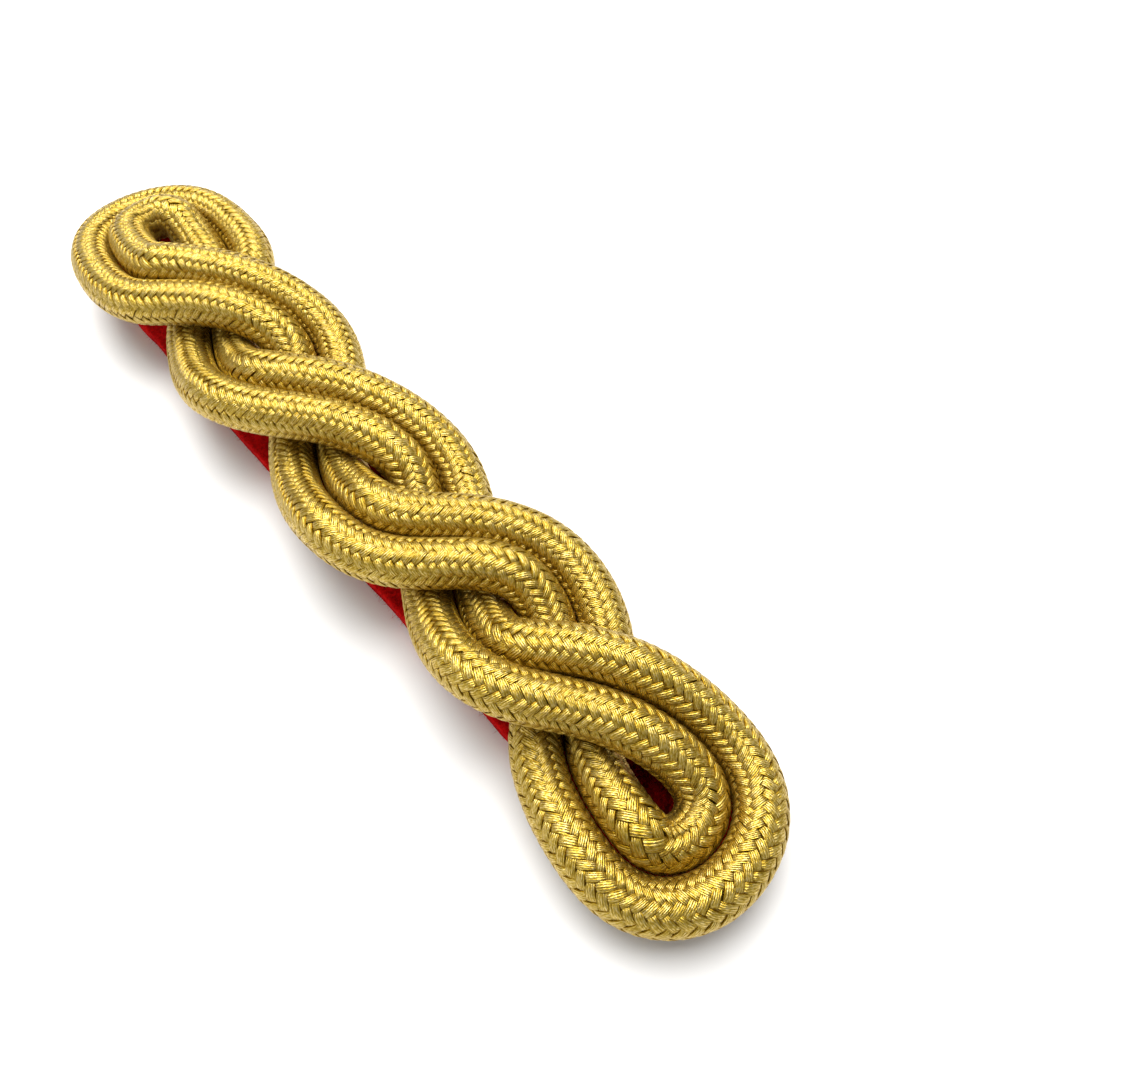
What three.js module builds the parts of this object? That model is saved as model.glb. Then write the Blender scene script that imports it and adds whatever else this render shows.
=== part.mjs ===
// Twisted shoulder cord: two round braided cords, laid side by side as a pair, run down and back in a
// flat two-strand twist with a double loop at each end, and are sewn on a strip of felt.
// Millimetres, +Z up. The length lies along Y with the far loop at +Y, the felt's underside is at Z = 0,
// and the origin is under the middle of the whole part.

import * as THREE from 'three';

// Driving dimensions
const cordDiameter = 5.6;
const cordGap = 0.35;            // between two cords that lie side by side
const crossingClearance = 0.35;  // between the pair that goes over and the pair under it
const feltThickness = 2.5;
const feltWidth = 16;
const feltEndInset = 4;          // from the end of each loop in to the end of the felt
const feltEdgeRound = 0.4;
const feltTurn = 1.25;           // degrees that the strip lies askew under the cords
const feltGap = 0.3;             // between the felt and the lowest cord

// How finely the surfaces are divided
const cordSides = 12;
const stepsPerRow = 7;
const feltArcSteps = 24;
const feltEdgeSteps = 2;

// What follows from them
const cordSpacing = cordDiameter + cordGap;
const riseOver = cordDiameter + cordGap + crossingClearance;
const lowestCentre = feltThickness + feltGap + cordDiameter / 2;

// The pair's route, chosen by hand from the photo, as one closed walk: down the twist, round the near
// loop, up the twist and round the far loop. Each row pulls the midline of the pair towards a point.
// across and along are in cord spacings. level is 0 where the pair lies on the felt and 1 where it goes
// over the other run. bank is how far the pair leans, in degrees, with the loops' inner cord raised.
const routeColumns = [ 'across', 'along', 'level', 'bank' ];
const route = [
	[ - 0.37, 6.48, 1.10, 3 ],        // over at the first crossing
	[ 1.76, 3.82, 0.35, - 20 ],       // right lobe
	[ - 0.60, 1.78, - 0.17, 11 ],     // under at the second
	[ - 1.16, - 0.55, 0.71, - 14 ],   // left lobe
	[ - 0.90, - 2.08, 1.32, 11 ],     // over at the third
	[ 1.64, - 3.69, 0.62, - 21 ],     // right lobe
	[ 0.87, - 6.06, 0.12, 7 ],        // under at the fourth
	[ - 0.71, - 6.39, - 0.08, - 5 ],  // near loop
	[ - 1.26, - 8.53, 0.48, 10 ],
	[ - 1.09, - 9.44, 0.12, 12 ],
	[ - 0.35, - 9.97, 0.14, - 7 ],
	[ 0.74, - 9.79, 0.15, - 6 ],
	[ 1.33, - 8.87, 0.21, 13 ],
	[ 0.81, - 7.33, 0.83, - 5 ],
	[ - 0.11, - 5.96, 1.08, - 10 ],   // over at the fourth crossing
	[ - 1.13, - 5.01, 0.89, 38 ],     // left lobe
	[ - 0.18, - 2.59, - 0.20, - 19 ], // under at the third
	[ 1.68, - 0.59, 0.42, 33 ],       // right lobe
	[ - 0.22, 2.25, 1.15, - 8 ],      // over at the second
	[ - 1.37, 3.20, 0.82, 16 ],       // left lobe
	[ - 0.52, 6.36, - 0.31, - 5 ],    // under at the first
	[ 1.08, 7.10, 0.27, 4 ],          // far loop
	[ 1.19, 8.22, 0.11, 4 ],
	[ 1.21, 9.38, 0.37, 29 ],
	[ 0.40, 10.16, 0.25, 27 ],
	[ - 0.88, 9.88, 0.38, 17 ],
	[ - 1.26, 8.40, 0.60, 11 ],
	[ - 1.15, 6.98, 0.79, 15 ],
].map( ( row ) => Object.fromEntries( routeColumns.map( ( name, i ) => [ name, row[ i ] ] ) ) );

const goldThread = new THREE.MeshStandardMaterial( { color: 0xd2a63c, roughness: 0.38, metalness: 0.9 } );
const redFelt = new THREE.MeshStandardMaterial( { color: 0xb40c12, roughness: 0.95, metalness: 0 } );

// The weights of a uniform cubic B-spline for the rows before, at, after and two after the place.
function splineWeights( u ) {

	const v = 1 - u;
	return [ v ** 3, 3 * u ** 3 - 6 * u ** 2 + 4, 3 * v ** 3 - 6 * v ** 2 + 4, u ** 3 ].map( ( w ) => w / 6 );

}

// One column of the route at a place t, counted in rows round the closed walk.
function routeValue( column, t ) {

	const row = Math.floor( t );
	const count = route.length;
	return splineWeights( t - row ).reduce(
		( sum, weight, k ) => sum + weight * route[ ( row + k - 1 + count ) % count ][ column ], 0 );

}

// The pair's midline: the height eases between lying on the felt and going over, so both ends are level.
function midPoint( t ) {

	const level = THREE.MathUtils.smoothstep( routeValue( 'level', t ), 0, 1 );
	return new THREE.Vector3(
		cordSpacing * routeValue( 'across', t ),
		cordSpacing * routeValue( 'along', t ),
		lowestCentre + riseOver * level );

}

// One cord of the pair: half a spacing to the side of the midline, square to it in plan, and banked.
class CordLine extends THREE.Curve {

	constructor( side ) {

		super();
		this.side = side;

	}

	getPoint( u ) {

		const count = route.length;
		const t = ( u % 1 ) * count;
		const nearby = 1 / ( 2 * stepsPerRow );
		const before = midPoint( ( t - nearby + count ) % count );
		const after = midPoint( ( t + nearby ) % count );
		const heading = Math.atan2( after.y - before.y, after.x - before.x );
		const bank = THREE.MathUtils.degToRad( routeValue( 'bank', t ) );
		const offset = this.side * cordSpacing / 2;
		return midPoint( t ).add( new THREE.Vector3(
			- Math.sin( heading ) * Math.cos( bank ) * offset,
			Math.cos( heading ) * Math.cos( bank ) * offset,
			Math.sin( bank ) * offset ) );

	}

}

// A mesh from rings of points, each joined to the next. A closed run joins its last ring to its first.
function skinRings( rings, closed ) {

	const sides = rings[ 0 ].length;
	const positions = rings.flat().flatMap( ( p ) => [ p.x, p.y, p.z ] );
	const index = [];
	const last = closed ? rings.length : rings.length - 1;

	for ( let i = 0; i < last; i ++ ) {

		for ( let j = 0; j < sides; j ++ ) {

			const here = i * sides;
			const next = ( ( i + 1 ) % rings.length ) * sides;
			const k = ( j + 1 ) % sides;
			index.push( here + j, here + k, next + k, here + j, next + k, next + j );

		}

	}

	return { positions, index };

}

function meshOf( name, { positions, index }, material ) {

	const geometry = new THREE.BufferGeometry();
	geometry.setAttribute( 'position', new THREE.Float32BufferAttribute( positions, 3 ) );
	geometry.setIndex( index );
	geometry.computeVertexNormals();
	const mesh = new THREE.Mesh( geometry, material );
	mesh.name = name;
	return mesh;

}

// A cord is a round section carried along its closed line and kept upright, so that its ends meet.
function makeCord( name, side ) {

	const line = new CordLine( side );
	const steps = route.length * stepsPerRow;
	const centres = Array.from( { length: steps }, ( _, i ) => line.getPoint( i / steps ) );

	const rings = centres.map( ( centre, i ) => {

		const before = centres[ ( i - 1 + steps ) % steps ];
		const after = centres[ ( i + 1 ) % steps ];
		const along = after.clone().sub( before ).normalize();
		const sideways = new THREE.Vector3( 0, 0, 1 ).cross( along ).normalize();
		const upwards = along.clone().cross( sideways );

		return Array.from( { length: cordSides }, ( _, j ) => {

			const angle = 2 * Math.PI * j / cordSides;
			return centre.clone()
				.addScaledVector( sideways, cordDiameter / 2 * Math.cos( angle ) )
				.addScaledVector( upwards, cordDiameter / 2 * Math.sin( angle ) );

		} );

	} );

	return meshOf( name, skinRings( rings, true ), goldThread );

}

// The felt is a strip with round ends and a slightly rounded edge, flat above and below.
function makeFelt( name, nearEnd, farEnd ) {

	const endRadius = feltWidth / 2;
	const outline = ( inset, height ) => {

		const radius = endRadius - inset;
		const points = [];

		for ( const [ centre, start ] of [ [ farEnd - endRadius, 0 ], [ nearEnd + endRadius, Math.PI ] ] ) {

			for ( let i = 0; i <= feltArcSteps; i ++ ) {

				const angle = start + Math.PI * i / feltArcSteps;
				points.push( new THREE.Vector3(
					radius * Math.cos( angle ), centre + radius * Math.sin( angle ), height ) );

			}

		}

		return points;

	};

	const rings = [];

	for ( const [ edge, up ] of [ [ feltEdgeRound, - 1 ], [ feltThickness - feltEdgeRound, 1 ] ] ) {

		for ( let i = 0; i <= feltEdgeSteps; i ++ ) {

			const turn = Math.PI / 2 * ( up < 0 ? 1 - i / feltEdgeSteps : i / feltEdgeSteps );
			const inset = feltEdgeRound * ( 1 - Math.cos( turn ) );
			rings.push( outline( inset, edge + up * feltEdgeRound * Math.sin( turn ) ) );

		}

	}

	const { positions, index } = skinRings( rings, false );
	const sides = rings[ 0 ].length;
	const top = ( rings.length - 1 ) * sides;

	for ( let j = 1; j < sides - 1; j ++ ) {

		index.push( 0, j + 1, j );
		index.push( top, top + j, top + j + 1 );

	}

	return meshOf( name, { positions, index }, redFelt );

}

const outerCord = makeCord( 'outer_cord', - 1 );
const innerCord = makeCord( 'inner_cord', 1 );
const cordBox = new THREE.Box3().setFromObject( outerCord ).expandByObject( innerCord );
const middle = cordBox.getCenter( new THREE.Vector3() ).setZ( 0 );

for ( const cord of [ outerCord, innerCord ] ) cord.position.sub( middle );

const halfLength = ( cordBox.max.y - cordBox.min.y ) / 2;
const feltBacking = makeFelt( 'felt_backing', - halfLength + feltEndInset, halfLength - feltEndInset );
feltBacking.rotation.z = THREE.MathUtils.degToRad( feltTurn );

const shoulderCord = new THREE.Group();
shoulderCord.add( outerCord, innerCord, feltBacking );

export default shoulderCord;
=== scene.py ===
"""A gold shoulder cord on red felt: a doubled round braid laid in a two-strand twist."""
import math

import bmesh
import bpy
import numpy as np
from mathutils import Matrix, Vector


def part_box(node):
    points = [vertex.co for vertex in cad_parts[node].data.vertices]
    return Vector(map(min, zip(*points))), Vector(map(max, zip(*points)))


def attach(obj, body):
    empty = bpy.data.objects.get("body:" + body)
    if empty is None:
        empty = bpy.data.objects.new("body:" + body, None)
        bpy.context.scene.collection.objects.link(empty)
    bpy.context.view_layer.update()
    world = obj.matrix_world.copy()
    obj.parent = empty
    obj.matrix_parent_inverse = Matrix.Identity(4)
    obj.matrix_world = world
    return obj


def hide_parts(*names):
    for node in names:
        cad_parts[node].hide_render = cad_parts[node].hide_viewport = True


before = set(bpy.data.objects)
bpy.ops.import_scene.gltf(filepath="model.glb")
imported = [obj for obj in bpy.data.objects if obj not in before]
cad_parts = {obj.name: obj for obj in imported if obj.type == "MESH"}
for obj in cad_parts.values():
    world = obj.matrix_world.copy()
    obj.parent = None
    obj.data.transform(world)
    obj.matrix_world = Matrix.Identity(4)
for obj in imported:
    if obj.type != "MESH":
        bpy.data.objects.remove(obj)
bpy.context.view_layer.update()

# Sizes are in millimetres, and become metres where a mesh is made.
MM = 0.001
MERGE_DISTANCE = 0.0001

# The cord's route, as the part's source has it: the pair's midline is a closed cubic spline pulled
# towards these rows. across and along are in cord spacings, level is 0 on the felt and 1 over the
# other run, and bank is the pair's lean in degrees. The rows weren't chosen by hand: they are the
# rounded result of a least-squares fit to points picked in the photo and to the outline.
CORD_DIAMETER = 5.6
CORD_GAP = 0.35
CROSSING_CLEARANCE = 0.35
FELT_THICKNESS = 2.5
FELT_GAP = 0.3
ROUTE = np.array([
    [-0.37, 6.48, 1.10, 3],      # over at the first crossing
    [1.76, 3.82, 0.35, -20],     # right lobe
    [-0.60, 1.78, -0.17, 11],    # under at the second
    [-1.16, -0.55, 0.71, -14],   # left lobe
    [-0.90, -2.08, 1.32, 11],    # over at the third
    [1.64, -3.69, 0.62, -21],    # right lobe
    [0.87, -6.06, 0.12, 7],      # under at the fourth
    [-0.71, -6.39, -0.08, -5],   # near loop
    [-1.26, -8.53, 0.48, 10],
    [-1.09, -9.44, 0.12, 12],
    [-0.35, -9.97, 0.14, -7],
    [0.74, -9.79, 0.15, -6],
    [1.33, -8.87, 0.21, 13],
    [0.81, -7.33, 0.83, -5],
    [-0.11, -5.96, 1.08, -10],   # over at the fourth crossing
    [-1.13, -5.01, 0.89, 38],    # left lobe
    [-0.18, -2.59, -0.20, -19],  # under at the third
    [1.68, -0.59, 0.42, 33],     # right lobe
    [-0.22, 2.25, 1.15, -8],     # over at the second
    [-1.37, 3.20, 0.82, 16],     # left lobe
    [-0.52, 6.36, -0.31, -5],    # under at the first
    [1.08, 7.10, 0.27, 4],       # far loop
    [1.19, 8.22, 0.11, 4],
    [1.21, 9.38, 0.37, 29],
    [0.40, 10.16, 0.25, 27],
    [-0.88, 9.88, 0.38, 17],
    [-1.26, 8.40, 0.60, 11],
    [-1.15, 6.98, 0.79, 15],
])
ROUTE_STEPS = 96                # places worked out between two rows

# The braid: half the strands wind one way and half the other, each over two and under two.
STRANDS = 12                    # winding each way
LAY = (14.5, 12.2)              # along the cord for one turn of a strand, at the near and far ends
STEPS_PER_TURN = 64
BRAID_RADIUS = 2.95
CONTACT_GAP = 0.02              # left between two cords that press on each other
NEIGHBOUR_STEPS = 600           # places along each cord that its neighbours feel
OWN_STRETCH = 3.0               # how far along itself a cord takes no notice of itself
FAR_AWAY = 1000.0               # stands in for the distance to no neighbour
LEAST_FACING = 1e-6             # the least that a direction counts as facing a neighbour
STRAND_THICKNESS = 0.36
STRAND_FILL = 1.25              # a strand's width as a share of the room it has
DIVE_SOFTNESS = 0.5             # how gently a strand goes under: 0 is a step
STRAND_WANDER = 0.035           # how far a strand strays round the cord, in radians
WIDTH_WANDER = 0.07             # and how much its width varies
STRAND_SEEDS = {"outer_cord": (3, 4), "inner_cord": (6, 7)}  # for the right and left strands
BEND_STRETCH = (0.25, 2.0)      # the least and most that a bend changes a side's length
WAVES = np.array([3, 7, 12, 19, 31, 47])  # in a smooth random value, round a closed run
WAVE_WEIGHTS = (0.4, 1.0)
WAVE_HEIGHT = 1.6               # brings the sum of the waves to about 1
# A strand's section in half widths and half thicknesses, from its right edge over the top, and
# how far across the strand's face each point is, with the underside from 1 to 2.
STRAND_SECTION = np.array([[1, -0.2], [0.8, 0.7], [0, 1], [-0.8, 0.7], [-1, -0.2]])
STRAND_ACROSS = np.array([0, 0.12, 0.5, 0.88, 1.0, 2.0])
THREADS = 5                     # fine threads side by side in a strand
STRAND_APART = 1000.0           # between two strands' places along the surface

CORE_RADIUS = 2.58
CORE_SIDES = 16
CORE_STEPS = 360

# The gold thread's finish. A grain is how finely a random value changes: for each millimetre along
# a strand and each thread across it. A pair that scales a value is what it is multiplied by and
# what is then added, and a shade is a share of the full tone.
GLINT_GRAIN = (2.6, 1.7, 1.0)
GLINT_SCALE = (2.4, -0.7)
TONE_GRAIN = (0.35, 0.25, 1.0)
# The glint's share of the base colour is a painted glint; its roughness and bump are real.
PAINTED_GLINT_SHARE = 0.65
TONE_SHARE = 0.45
PAINTED_RIDGE_SHADE = (0.3, 0.74)       # painted shade: lighter over the middle of each thread, darker between threads
STRAND_EDGE = 0.5               # threads from a strand's edge to where the face begins
PAINTED_EDGE_SHADE = (2.4, 0.32)        # painted shade, inwards from there
PAINTED_DIVE_SHADE = (0.26, 0.88)       # painted shade, with the strand's height in the braid
# the darkest that the painted shade of a dive makes a strand
DARKEST_PAINTED_DIVE = 0.4
GLINT_ROUGHNESS = (-0.16, 0.49)
GLINT_HEIGHT = 0.7              # of a glint against a thread's ridge
THREAD_BUMP = (0.62, 0.08)      # strength, and depth in millimetres
GOLD_TONES = [
    (0.0, (0.085, 0.04, 0.001)),
    (0.22, (0.25, 0.145, 0.008)),
    (0.48, (0.46, 0.315, 0.043)),
    (0.8, (0.67, 0.52, 0.19)),
]
# The core's colour is painted shade, dark where the braid's inside shows between strands.
INSIDE_SHADE_COLOUR = (0.20, 0.115, 0.016)

# The felt
FELT_WIDTH = 16.0
FELT_TURN = 1.25                # degrees that the strip lies askew under the cords
FELT_SIDE_STEPS = 380           # along each straight side of the outline
FELT_END_STEPS = 70             # round each end
FELT_WAVER = 0.08               # how unevenly the edge is cut
FELT_EDGE = 1.2                 # how far in that shows
# The strip's section, from the middle of the underside to the middle of the top: how far in from
# the edge as a share of half its width, and how high as a share of its thickness.
FELT_SECTION = np.array([
    [1.0, 0.0], [0.5, 0.0], [0.08, 0.0], [0.02, 0.02], [0.0, 0.12], [0.0, 0.5], [0.0, 0.86],
    [0.015, 0.955], [0.05, 1.0], [0.3, 1.0], [0.6, 1.0], [1.0, 1.0],
])
FELT_PAINTED_SHADE = (2.0, 5.0)          # how far in the top of the felt is open to light, and where it is dark: painted shade
FELT_SEED = 5
WOOL_GRAIN = (2600.0,) * 3      # for each metre
CLUMP_GRAIN = (420.0,) * 3
WOOL_DETAIL = 3.0
WOOL_SHARE = 0.6                # of the wool's tone, and the rest is the clumps'
PAINTED_COVER_SHADE = -0.42             # painted shade, added to the tone where the cords cover the felt
FELT_BUMP = (0.9, 0.25)         # strength, and depth in millimetres
FELT_TONES = [
    (0.0, (0.03, 0.0, 0.0)),
    (0.32, (0.26, 0.001, 0.001)),
    (0.52, (0.55, 0.003, 0.003)),
    (0.70, (0.75, 0.012, 0.009)),
]

# The felt's loose fibres. The lean and the lift are each a mean and a standard deviation.
FIBRES = 4000
FIBRE_SEED = 11
FIBRE_SIDES = 3
FIBRE_ROOT = 0.25               # how deep in the felt a fibre starts
FIBRE_HEIGHTS = (0.15, 0.97)    # the least and most, as a share of the felt's thickness
FIBRE_LEAN = (0, 0.8)           # along the edge, for each step out of it
FIBRE_LIFT = (0.1, 0.45)        # upwards, for each step out
FIBRE_OUT = 0.6                 # how much of its curl is outwards
FIBRE_CURL = 0.6                # how far the curl takes the tip, as a share of the length
FIBRE_SHORTEST = 0.12
FIBRE_LENGTHS = (2.0, 0.1)      # the shape and scale of the gamma distribution added to that
FIBRE_PLACES = np.array([0, 0.4, 0.75, 1.0])  # along a fibre
FIBRE_RADII = 0.018 * np.array([1, 0.9, 0.7, 0.25])
FIBRE_LOWEST = 0.05
FIBRE_ABOVE = 0.35              # the most that a fibre stands above the felt

# The camera stands where the photo was taken from.
CAMERA_AT = (-24.33, -65.92, 104.56)
CAMERA_TURN = -40.47            # degrees from looking along +Y
CAMERA_DOWN = 59.77
CAMERA_FOCAL_PIXELS = 961.8
IMAGE_WIDTH_PIXELS = 1141
SENSOR_WIDTH = 36.0
NEAREST_SEEN = 0.005            # in metres

# The surroundings, in metres and watts
FLOOR_REACH = 2.0
FLOOR_COLOUR = (0.79, 0.785, 0.775)
SKY_STRENGTH = 0.33


def unit(vectors):
    """Each vector over its own length."""
    return vectors / np.linalg.norm(vectors, axis=-1, keepdims=True)


def around(points):
    """The difference between the places after and before each one of a closed run, along axis -2."""
    return np.roll(points, -1, axis=-2) - np.roll(points, 1, axis=-2)


def closed_spline(rows, steps):
    """A uniform cubic B-spline through rows, closed: each place is the sum of four rows, the one
    before, the one at, and the next two, weighed by cubics of how far the place is between them."""
    place = np.arange(len(rows) * steps) / steps
    row = np.floor(place).astype(int)
    u = place - row
    v = 1 - u
    weights = np.stack([v**3, 3 * u**3 - 6 * u**2 + 4, 3 * v**3 - 6 * v**2 + 4, u**3], axis=1) / 6
    near = (row[:, None] + np.arange(-1, 3)) % len(rows)
    return np.einsum("ij,ijk->ik", weights, rows[near])


def cord_line(side):
    """The centre line of one cord of the pair, as points round a closed run. It lies half a spacing
    to the side of the midline, square to it in plan, and tilted by the bank."""
    spacing = CORD_DIAMETER + CORD_GAP
    across, along, level, bank = closed_spline(ROUTE, ROUTE_STEPS).T
    level = np.clip(level, 0, 1)
    lowest = FELT_THICKNESS + FELT_GAP + CORD_DIAMETER / 2
    height = lowest + (spacing + CROSSING_CLEARANCE) * level**2 * (3 - 2 * level)
    middle = np.stack([spacing * across, spacing * along, height], axis=1)
    ahead = unit(around(middle[:, :2]))
    bank = np.radians(bank)
    offset = np.stack([-ahead[:, 1] * np.cos(bank), ahead[:, 0] * np.cos(bank), np.sin(bank)], axis=1)
    return middle + side * spacing / 2 * offset


def evenly(points, count):
    """A closed run of points set evenly along its length, and that length."""
    closed = np.vstack([points, points[:1]])
    reach = np.concatenate([[0], np.cumsum(np.linalg.norm(np.diff(closed, axis=0), axis=1))])
    places = reach[-1] * np.arange(count) / count
    return np.stack([np.interp(places, reach, closed[:, k]) for k in range(3)], axis=1), reach[-1]


def upright_frame(line):
    """The directions along, to the side and up at each point of a closed line: the side is level,
    and up is square to both others."""
    along = unit(around(line))
    sideways = unit(np.cross([0.0, 0.0, 1.0], along))
    return along, sideways, np.cross(along, sideways)


def ring_faces(runs, rings, sides):
    """Four-sided faces that join each ring of points to the next, for so many closed runs of rings.
    Point j of ring i in run r is number (r * rings + i) * sides + j."""
    run, ring, side = np.meshgrid(np.arange(runs), np.arange(rings), np.arange(sides), indexing="ij")
    here = (run * rings + ring) * sides
    after = (run * rings + (ring + 1) % rings) * sides
    beside = (side + 1) % sides
    return np.stack([here + side, here + beside, after + beside, after + side], axis=-1).reshape(-1, 4)


def make_piece(name, points, faces, replaced, material, corner_uv=None, marks=None):
    """A smooth mesh of points in millimetres, that rides on the body and stands for a CAD node.
    marks are named values of each point. Points that lie on each other are merged."""
    mesh = bpy.data.meshes.new(name)
    mesh.from_pydata((points.reshape(-1, 3) * MM).tolist(), [], list(faces))
    mesh.shade_smooth()
    if corner_uv is not None:
        layer = mesh.uv_layers.new(name="surface")
        layer.data.foreach_set("uv", corner_uv.astype(np.float32).ravel())
    for mark, values in (marks or {}).items():
        attribute = mesh.attributes.new(mark, "FLOAT", "POINT")
        attribute.data.foreach_set("value", values.astype(np.float32).ravel())
    shell = bmesh.new()
    shell.from_mesh(mesh)
    bmesh.ops.remove_doubles(shell, verts=shell.verts, dist=MERGE_DISTANCE * MM)
    shell.to_mesh(mesh)
    shell.free()
    mesh.materials.append(material)
    piece = bpy.data.objects.new(name, mesh)
    bpy.context.scene.collection.objects.link(piece)
    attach(piece, "root")
    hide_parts(replaced)
    return piece


def wander(count, runs, seed):
    """A smooth random value round a closed run, for each of so many runs: a sum of sines with whole
    numbers of waves, random starts and random weights, between about -1 and 1."""
    draw = np.random.default_rng(seed)
    place = 2 * math.pi * np.arange(count) / count
    start = draw.uniform(0, 2 * math.pi, (runs, 1, len(WAVES)))
    weight = draw.uniform(*WAVE_WEIGHTS, (runs, 1, len(WAVES))) / np.sqrt(len(WAVES))
    return np.sum(weight * np.sin(WAVES * place[None, :, None] + start), axis=2) * WAVE_HEIGHT


def pressed_radius(centre, outward, own, other):
    """How far a cord reaches from its centre line in each outward direction: its own radius, or
    less where it presses on a cord beside it. There it ends at the plane midway between the two
    centre lines, which a direction o meets at |d|^2 / (2 d.o), where d leads to the neighbour."""
    reach = np.full(outward.shape[:2], BRAID_RADIUS)
    for line, itself in ((own, True), (other, False)):
        places, length = evenly(line, NEIGHBOUR_STEPS)
        apart = places[None] - centre[:, None]
        squared = np.sum(apart**2, axis=-1)
        if itself:
            here = np.arange(len(centre))[:, None] / len(centre)
            along = np.abs(here - np.arange(NEIGHBOUR_STEPS) / NEIGHBOUR_STEPS)
            squared[length * np.minimum(along, 1 - along) < OWN_STRETCH] = FAR_AWAY**2
        facing = np.maximum(np.einsum("isk,ijk->isj", outward, apart), LEAST_FACING)
        reach = np.minimum(reach, np.min(squared[:, None] / (2 * facing), axis=-1) - CONTACT_GAP / 2)
    return reach


def lay_at(points):
    """One turn's length along the cord at each point: it changes evenly along the part, because
    the braid is drawn tighter towards the far end."""
    low, high = (corner[1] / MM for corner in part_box("felt_backing"))
    near, far = LAY
    return near + (far - near) * (points[:, 1] - low) / (high - low)


def braid_strands(line, other, hand, seed):
    """The strands that wind one way round a cord: rings of points, their surface places, and how
    high each point rides in the braid.

    A strand's angle round the cord grows by a turn over each lay, with whole turns in all. Its
    distance from the cord's centre is a rounded square wave of that angle, six to a turn, so that
    it floats over a twelfth of the way round and dives under the next twelfth, where the strands of
    the other hand float. Its section is a flat lens that fills the room it has beside the next
    strand and laps over it a little, and this room shrinks on the inner side of a bend."""
    places, length = evenly(line, NEIGHBOUR_STEPS)
    turns = round(length * np.mean(1 / lay_at(places)))
    count = turns * STEPS_PER_TURN
    centre, _ = evenly(line, count)
    along, sideways, upwards = upright_frame(centre)
    step = length / count
    lay = lay_at(centre)
    lay = lay * np.sum(step / lay) / turns
    turned = np.cumsum(step / lay) - step / lay
    strand = np.arange(STRANDS)[:, None]
    half_gap = math.pi / STRANDS / 2 * (1 - hand)
    angle = hand * 2 * math.pi * turned + 2 * math.pi * strand / STRANDS + half_gap
    wave = np.sin(STRANDS / 2 * angle) * hand
    wave = wave * math.sqrt(1 + DIVE_SOFTNESS**2) / np.sqrt(wave**2 + DIVE_SOFTNESS**2)
    depth = STRAND_THICKNESS / 2
    strayed = angle + STRAND_WANDER * wander(count, STRANDS, seed)
    outward = np.cos(strayed)[..., None] * sideways + np.sin(strayed)[..., None] * upwards
    reach = pressed_radius(centre, np.swapaxes(outward, 0, 1), line, other).T
    radius = reach - 2 * depth + depth * wave
    path = centre + radius[..., None] * outward
    heading = unit(around(path))
    normal = unit(outward - np.sum(outward * heading, axis=-1, keepdims=True) * heading)
    across = np.cross(normal, heading)

    # How far a step along the cord is stretched at this side of it, against its centre line
    bend = around(along) / (2 * step)
    stretch = np.clip(1 - radius * np.sum(outward * bend, axis=-1), *BEND_STRETCH)
    room = lay / STRANDS * stretch
    lean = np.arctan2(2 * math.pi * radius, lay * stretch)
    half_width = STRAND_FILL * room * np.sin(lean) / 2
    half_width = half_width * (1 + WIDTH_WANDER * wander(count, STRANDS, seed + 1))

    rings = path[:, :, None, :]
    rings = rings + (half_width[..., None] * STRAND_SECTION[:, 0])[..., None] * across[:, :, None, :]
    rings = rings + depth * STRAND_SECTION[:, 1][:, None] * normal[:, :, None, :]
    sides = len(STRAND_SECTION)
    faces = ring_faces(STRANDS, count, sides)

    # Each strand's surface has a stretch of its own: millimetres along it, and threads across it.
    run, ring, side = np.meshgrid(np.arange(STRANDS), np.arange(count), np.arange(sides), indexing="ij")
    ring_length = step * np.hypot(1, 2 * math.pi * BRAID_RADIUS / lay)
    end = np.cumsum(ring_length)[ring] + STRAND_APART * (run + 1)
    start = end - ring_length[ring]
    right, left = STRAND_ACROSS[side] * THREADS, STRAND_ACROSS[side + 1] * THREADS
    u = np.stack([start, start, end, end], axis=-1)
    v = np.stack([right, left, left, right], axis=-1)
    height = np.repeat(wave[..., None], sides, axis=-1)
    return rings, faces, np.stack([u, v], axis=-1), height


def cord_core(line, other):
    """The braid's inside, painted dark as shade: a section carried along the cord's centre line, round
    but for where the cord is pressed."""
    centre, _ = evenly(line, CORE_STEPS)
    _, sideways, upwards = upright_frame(centre)
    turn = (2 * math.pi * np.arange(CORE_SIDES) / CORE_SIDES)[:, None]
    outward = np.cos(turn) * sideways[:, None] + np.sin(turn) * upwards[:, None]
    radius = pressed_radius(centre, outward, line, other) - (BRAID_RADIUS - CORE_RADIUS)
    return centre[:, None] + radius[..., None] * outward, ring_faces(1, CORE_STEPS, CORE_SIDES)


def new_material(name):
    """A material, its node tree and its Principled BSDF."""
    material = bpy.data.materials.new(name)
    material.use_nodes = True
    tree = material.node_tree
    return material, tree, tree.nodes["Principled BSDF"]


def math_node(tree, operation, *inputs):
    """A Math node with its inputs linked or set, that gives its output."""
    node = tree.nodes.new("ShaderNodeMath")
    node.operation = operation
    for socket, value in zip(node.inputs, inputs):
        if isinstance(value, bpy.types.NodeSocket):
            tree.links.new(value, socket)
        else:
            socket.default_value = value
    return node.outputs[0]


def scaled(tree, value, gain, start):
    """A value times a gain, plus a start."""
    return math_node(tree, "MULTIPLY_ADD", value, gain, start)


def at_most_full(tree, value, least):
    """A value kept between a least one and 1."""
    return math_node(tree, "MINIMUM", math_node(tree, "MAXIMUM", value, least), 1.0)


def attribute_node(tree, name):
    """The value that each point of a piece has under a name."""
    node = tree.nodes.new("ShaderNodeAttribute")
    node.attribute_name = name
    return node.outputs["Fac"]


def bump_node(tree, shader, height, strength, depth):
    """A bump of a strength, and a depth in millimetres, on a material's surface."""
    bump = tree.nodes.new("ShaderNodeBump")
    bump.inputs["Strength"].default_value = strength
    bump.inputs["Distance"].default_value = depth * MM
    tree.links.new(height, bump.inputs["Height"])
    tree.links.new(bump.outputs["Normal"], shader.inputs["Normal"])


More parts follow.
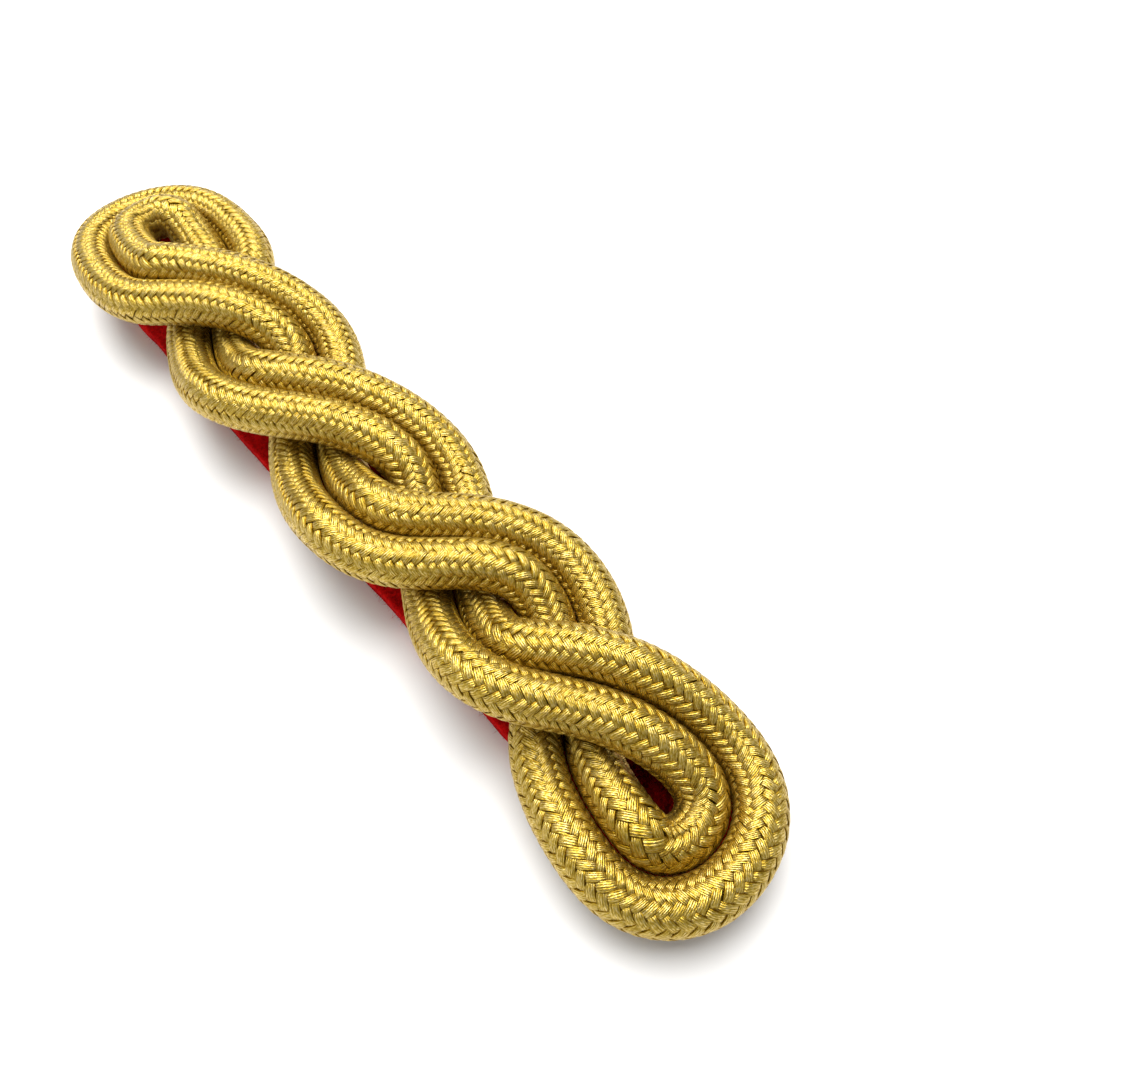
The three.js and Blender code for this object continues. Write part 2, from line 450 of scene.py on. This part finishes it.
def ramp_node(tree, value, stops):
    """A colour ramp through stops of place and colour."""
    node = tree.nodes.new("ShaderNodeValToRGB")
    elements = node.color_ramp.elements
    while len(elements) < len(stops):
        elements.new(0.5)
    for element, (place, colour) in zip(elements, stops):
        element.position = place
        element.color = (*colour, 1)
    tree.links.new(value, node.inputs["Fac"])
    return node.outputs["Color"]


def make_unevenness():
    """A node group, unevenness, that puts out a smooth random value from 0 to 1 over a place:
    noise whose grain along each direction is one over the scale given for it."""
    group = bpy.data.node_groups.new("unevenness", "ShaderNodeTree")
    group.interface.new_socket("Place", in_out="INPUT", socket_type="NodeSocketVector")
    group.interface.new_socket("Scale", in_out="INPUT", socket_type="NodeSocketVector")
    group.interface.new_socket("Detail", in_out="INPUT", socket_type="NodeSocketFloat")
    group.interface.new_socket("Value", in_out="OUTPUT", socket_type="NodeSocketFloat")
    given = group.nodes.new("NodeGroupInput")
    result = group.nodes.new("NodeGroupOutput")
    mapping = group.nodes.new("ShaderNodeMapping")
    noise = group.nodes.new("ShaderNodeTexNoise")
    noise.inputs["Scale"].default_value = 1.0
    group.links.new(given.outputs["Place"], mapping.inputs["Vector"])
    group.links.new(given.outputs["Scale"], mapping.inputs["Scale"])
    group.links.new(mapping.outputs["Vector"], noise.inputs["Vector"])
    group.links.new(given.outputs["Detail"], noise.inputs["Detail"])
    group.links.new(noise.outputs["Fac"], result.inputs["Value"])


def uneven(tree, place, scale, detail=2.0):
    """The unevenness group placed in a material, with the scale along each direction."""
    node = tree.nodes.new("ShaderNodeGroup")
    node.node_tree = bpy.data.node_groups["unevenness"]
    node.inputs["Scale"].default_value = scale
    node.inputs["Detail"].default_value = detail
    tree.links.new(place, node.inputs["Place"])
    return node.outputs["Value"]


def gold_thread():
    """Metal-wrapped thread: five fine threads across each strand, whose twisted foil glints and dulls
    in short dashes, by its roughness and bump and by painted glints in the base colour, with painted
    shade between the threads, where a strand dives and along its edges."""
    material, tree, shader = new_material("gold_thread")
    place = tree.nodes.new("ShaderNodeUVMap")
    place.uv_map = "surface"
    place = place.outputs["UV"]
    split = tree.nodes.new("ShaderNodeSeparateXYZ")
    tree.links.new(place, split.inputs[0])
    across = split.outputs["Y"]

    # Each thread is a ridge: 1 less the square of how far out a place is from its middle.
    from_side = math_node(tree, "FRACT", across)
    off_middle = math_node(tree, "ABSOLUTE", math_node(tree, "SUBTRACT", from_side, 0.5))
    squared = math_node(tree, "POWER", math_node(tree, "MULTIPLY", off_middle, 2.0), 2.0)
    ridge = math_node(tree, "SUBTRACT", 1.0, squared)
    glint = scaled(tree, uneven(tree, place, GLINT_GRAIN), *GLINT_SCALE)
    tone = uneven(tree, place, TONE_GRAIN)

    # Painted shade: the base colour is darker along the strand's edges and where it dives.
    to_left = math_node(tree, "SUBTRACT", float(THREADS), across)
    from_edge = math_node(tree, "SUBTRACT", math_node(tree, "MINIMUM", across, to_left), STRAND_EDGE)
    edge = at_most_full(tree, scaled(tree, from_edge, *PAINTED_EDGE_SHADE), PAINTED_EDGE_SHADE[1])
    painted_dive_shade = scaled(tree, attribute_node(tree, "height"), *PAINTED_DIVE_SHADE)
    painted_dive_shade = at_most_full(tree, painted_dive_shade, DARKEST_PAINTED_DIVE)
    painted_strand_shade = math_node(tree, "MULTIPLY", edge, painted_dive_shade)

    # Painted glints: the glint lightens and darkens the base colour in short dashes, over a tone that
    # changes at random.
    level = scaled(tree, glint, PAINTED_GLINT_SHARE, math_node(tree, "MULTIPLY", tone, TONE_SHARE))
    # Painted shade: the base colour is darker between the threads.
    level = math_node(tree, "MULTIPLY", level, scaled(tree, ridge, *PAINTED_RIDGE_SHADE))
    level = math_node(tree, "MULTIPLY", level, painted_strand_shade)
    tree.links.new(ramp_node(tree, level, GOLD_TONES), shader.inputs["Base Color"])
    tree.links.new(scaled(tree, glint, *GLINT_ROUGHNESS), shader.inputs["Roughness"])
    bump_node(tree, shader, scaled(tree, glint, GLINT_HEIGHT, ridge), *THREAD_BUMP)
    shader.inputs["Metallic"].default_value = 1.0
    return material


def cord_inside_shade():
    """The inside of the braid, seen only between strands, with its colour painted dark as shade."""
    material, _, shader = new_material("cord_inside_shade")
    shader.inputs["Base Color"].default_value = (*INSIDE_SHADE_COLOUR, 1)
    shader.inputs["Roughness"].default_value = 0.8
    return material


def red_felt():
    """Wool felt: matted red wool, lighter where fibres catch the light, with painted shade that darkens
    it where the cords cover it."""
    material, tree, shader = new_material("red_felt")
    place = tree.nodes.new("ShaderNodeTexCoord").outputs["Object"]
    wool = uneven(tree, place, WOOL_GRAIN, WOOL_DETAIL)
    clumps = math_node(tree, "MULTIPLY", uneven(tree, place, CLUMP_GRAIN), 1 - WOOL_SHARE)
    matted = scaled(tree, wool, WOOL_SHARE, clumps)
    # Painted shade: the tone is darkened where the cords cover the felt.
    tone = scaled(tree, attribute_node(tree, "painted_shade_cover"), PAINTED_COVER_SHADE, matted)
    tree.links.new(ramp_node(tree, tone, FELT_TONES), shader.inputs["Base Color"])
    bump_node(tree, shader, matted, *FELT_BUMP)
    shader.inputs["Roughness"].default_value = 1.0
    shader.inputs["Specular IOR Level"].default_value = 0.08
    return material


def felt_frame():
    """The middle of the felt strip and the length of its straight sides. The frame gives the box
    of the strip as it lies askew, whose sides are shorter by the cosine of its turn."""
    low, high = (np.array(corner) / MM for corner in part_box("felt_backing"))
    side = (high[1] - low[1] - FELT_WIDTH) / math.cos(math.radians(FELT_TURN))
    return (low[:2] + high[:2]) / 2, side


def lay_askew(flat, middle):
    """Points or directions in plan, turned by the strip's turn and moved to its middle."""
    turn = math.radians(FELT_TURN)
    turned = np.stack([
        flat[..., 0] * math.cos(turn) - flat[..., 1] * math.sin(turn),
        flat[..., 0] * math.sin(turn) + flat[..., 1] * math.cos(turn),
    ], axis=-1)
    return turned + middle


def felt_outline(turn, side):
    """A point of the round-ended outline of a strip that lies straight and the direction out of it,
    by its share of the way round: up the right side, round the far end, down the left side and
    round the near end."""
    radius = FELT_WIDTH / 2
    arc = math.pi * radius
    reach = (turn % 1.0) * 2 * (side + arc)
    second = reach >= side + arc
    reach = np.where(second, reach - side - arc, reach)
    straight = reach < side
    angle = np.where(straight, 0.0, (reach - side) / radius)
    x = np.where(straight, radius, radius * np.cos(angle))
    y = np.where(straight, -side / 2 + reach, side / 2 + radius * np.sin(angle))
    sign = np.where(second, -1.0, 1.0)
    outline = np.stack([x * sign, y * sign], axis=-1)
    return outline, np.stack([np.cos(angle) * sign, np.sin(angle) * sign], axis=-1)


def felt_strip():
    """The felt strip, and how much painted shade each point of its top gets where the cords cover it,
    from 0 to 1: rings that follow its outline, from the middle of the underside out, over a slightly
    rounded edge and in again over the top. The cut edge wavers by a few hundredths of the strip's
    thickness."""
    middle, side = felt_frame()
    radius = FELT_WIDTH / 2
    end = math.pi * radius
    along_side = side * np.arange(FELT_SIDE_STEPS) / FELT_SIDE_STEPS
    round_end = side + end * np.arange(FELT_END_STEPS) / FELT_END_STEPS
    half = np.concatenate([along_side, round_end]) / (2 * (side + end))
    turn = np.concatenate([half, half + 0.5])
    outline, outward = felt_outline(turn, side)
    waver = FELT_WAVER * wander(len(turn), 1, FELT_SEED)[0]
    inset = FELT_SECTION[:, :1] * radius
    rise = FELT_SECTION[:, 1:] * FELT_THICKNESS
    edge = np.clip(1 - inset / FELT_EDGE, 0, 1)
    shift = waver * edge - FELT_WAVER - inset
    flat = outline + outward * shift[..., None]
    spine_y = np.clip(outline[:, 1], -side / 2, side / 2)
    flat[[0, -1]] = np.stack([np.zeros(len(turn)), spine_y], axis=-1)
    z = np.broadcast_to(rise, flat.shape[:2])
    rings = np.concatenate([lay_askew(flat, middle), z[..., None]], axis=-1)
    faces = ring_faces(1, len(rings), len(turn)).reshape(len(rings), len(turn), 4)[:-1].reshape(-1, 4)
    # Painted shade on the top of the felt: none near the edge, full further in under the cords.
    start, dark = FELT_PAINTED_SHADE
    painted_shade_cover = np.clip((inset - start) / (dark - start), 0, 1) * (rise > FELT_THICKNESS / 2)
    return rings, faces, np.broadcast_to(painted_shade_cover, flat.shape[:2])


def felt_fibres():
    """Loose wool on the cut edge and the bare top: bent hairs of four points, each a three-sided
    tapering spike that starts in the felt and curls out of it in a random direction."""
    draw = np.random.default_rng(FIBRE_SEED)
    middle, straight = felt_frame()
    outline, outward = felt_outline(draw.uniform(0, 1, FIBRES), straight)
    root = lay_askew(outline - outward * FIBRE_ROOT, middle)
    outward = lay_askew(outward, 0)
    start = np.column_stack([root, draw.uniform(*FIBRE_HEIGHTS, FIBRES) * FELT_THICKNESS])
    out = np.column_stack([outward, np.zeros(FIBRES)])
    along = np.column_stack([-outward[:, 1], outward[:, 0], np.zeros(FIBRES)])
    lean = draw.normal(*FIBRE_LEAN, FIBRES)[:, None]
    lift = draw.normal(*FIBRE_LIFT, FIBRES)[:, None]
    first = unit(out + lean * along + lift * np.array([0, 0, 1.0]))
    curl = unit(draw.normal(0, 1, (FIBRES, 3)) + FIBRE_OUT * out)
    length = (FIBRE_SHORTEST + draw.gamma(*FIBRE_LENGTHS, FIBRES))[:, None]
    line = start[:, None] + FIBRE_PLACES[None, :, None] * (length * first)[:, None]
    line = line + (FIBRE_PLACES**2)[None, :, None] * (length * FIBRE_CURL * curl)[:, None]
    line[..., 2] = np.clip(line[..., 2], FIBRE_LOWEST, FELT_THICKNESS + FIBRE_ABOVE)
    sideways = unit(np.cross(first, curl))
    above = np.cross(sideways, first)
    angle = 2 * math.pi * np.arange(FIBRE_SIDES) / FIBRE_SIDES
    section = np.cos(angle)[:, None] * sideways[:, None] + np.sin(angle)[:, None] * above[:, None]
    points = line[:, :, None] + FIBRE_RADII[None, :, None, None] * section[:, None]

    # Point j of ring i in fibre f is number (f * rings + i) * sides + j.
    rings, sides = len(FIBRE_PLACES), FIBRE_SIDES
    counts = (FIBRES, rings - 1, sides)
    fibre, ring, side = np.meshgrid(*(np.arange(count) for count in counts), indexing="ij")
    here = (fibre * rings + ring) * sides
    beside = (side + 1) % sides
    walls = np.stack([here + side, here + beside, here + sides + beside, here + sides + side], axis=-1)
    number = np.arange(sides)
    first = np.arange(FIBRES)[:, None] * rings * sides
    ends = np.concatenate([first + number[::-1], first + (rings - 1) * sides + number])
    return points, walls.reshape(-1, 4).tolist() + ends.tolist()


def place_on_frame(lines):
    """Moves both centre lines so that the box of the cords is where the frame has it, in plan."""
    low = np.min([line.min(axis=0) for line in lines], axis=0)
    high = np.max([line.max(axis=0) for line in lines], axis=0)
    boxes = [np.array(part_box(node)) / MM for node in ("outer_cord", "inner_cord")]
    want = (np.min([b[0] for b in boxes], axis=0) + np.max([b[1] for b in boxes], axis=0)) / 2
    shift = want - (low + high) / 2
    shift[2] = 0
    return [line + shift for line in lines]


def make_camera():
    """A camera at the photo's place: turned about the upright axis, then tipped down."""
    data = bpy.data.cameras.new("camera")
    data.sensor_width = SENSOR_WIDTH
    data.lens = data.sensor_width * CAMERA_FOCAL_PIXELS / IMAGE_WIDTH_PIXELS
    data.clip_start = NEAREST_SEEN
    camera = bpy.data.objects.new("camera", data)
    bpy.context.scene.collection.objects.link(camera)
    camera.location = Vector(CAMERA_AT) * MM
    camera.rotation_euler = (math.radians(90 - CAMERA_DOWN), 0, math.radians(CAMERA_TURN))
    bpy.context.scene.camera = camera


def make_floor():
    """A plain pale floor."""
    material, _, shader = new_material("pale_floor")
    shader.inputs["Base Color"].default_value = (*FLOOR_COLOUR, 1)
    shader.inputs["Roughness"].default_value = 0.9
    mesh = bpy.data.meshes.new("floor")
    corners = np.array([(-1, -1, 0), (1, -1, 0), (1, 1, 0), (-1, 1, 0)]) * FLOOR_REACH
    mesh.from_pydata(corners.tolist(), [], [(0, 1, 2, 3)])
    mesh.materials.append(material)
    floor = bpy.data.objects.new("floor", mesh)
    bpy.context.scene.collection.objects.link(floor)


def make_lights():
    """A large soft light above and beyond, a weaker one to the left, and a pale sky all round."""
    for name, place, size, power in (
        ("top_light", (0.14, 0.20, 0.60), 0.70, 11.2),
        ("side_light", (-0.55, 0.10, 0.35), 0.35, 0.6),
    ):
        data = bpy.data.lights.new(name, "AREA")
        data.size = size
        data.energy = power
        light = bpy.data.objects.new(name, data)
        bpy.context.scene.collection.objects.link(light)
        light.location = place
        light.rotation_euler = (-Vector(place)).to_track_quat("-Z", "Y").to_euler()
    world = bpy.data.worlds.new("sky")
    world.use_nodes = True
    sky = world.node_tree.nodes["Background"]
    sky.inputs["Color"].default_value = (1, 1, 1, 1)
    sky.inputs["Strength"].default_value = SKY_STRENGTH
    bpy.context.scene.world = world
    bpy.context.scene.view_settings.view_transform = "Standard"


def make_cord(node, line, other, gold, inside):
    """One cord: strands that wind to the right, strands that wind to the left, and a core."""
    for way, hand, seed in zip(("right", "left"), (1, -1), STRAND_SEEDS[node]):
        points, faces, uv, height = braid_strands(line, other, hand, seed)
        name = f"{node}_{way}_strands"
        make_piece(name, points, faces, node, gold, uv, {"height": height})
    points, faces = cord_core(line, other)
    make_piece(f"{node}_core", points, faces, node, inside)


def make_felt(red):
    """The felt strip with its fibres, cut with round ends."""
    points, faces, painted_shade_cover = felt_strip()
    marks = {"painted_shade_cover": painted_shade_cover}
    strip = make_piece("felt_strip", points, faces, "felt_backing", red, marks=marks)
    points, faces = felt_fibres()
    fibres = make_piece("felt_fibres", points, faces, "felt_backing", red)


make_unevenness()
gold = gold_thread()
inside = cord_inside_shade()
outer, inner = place_on_frame([cord_line(-1), cord_line(1)])
make_cord("outer_cord", outer, inner, gold, inside)
make_cord("inner_cord", inner, outer, gold, inside)
make_felt(red_felt())
make_floor()
make_lights()
make_camera()
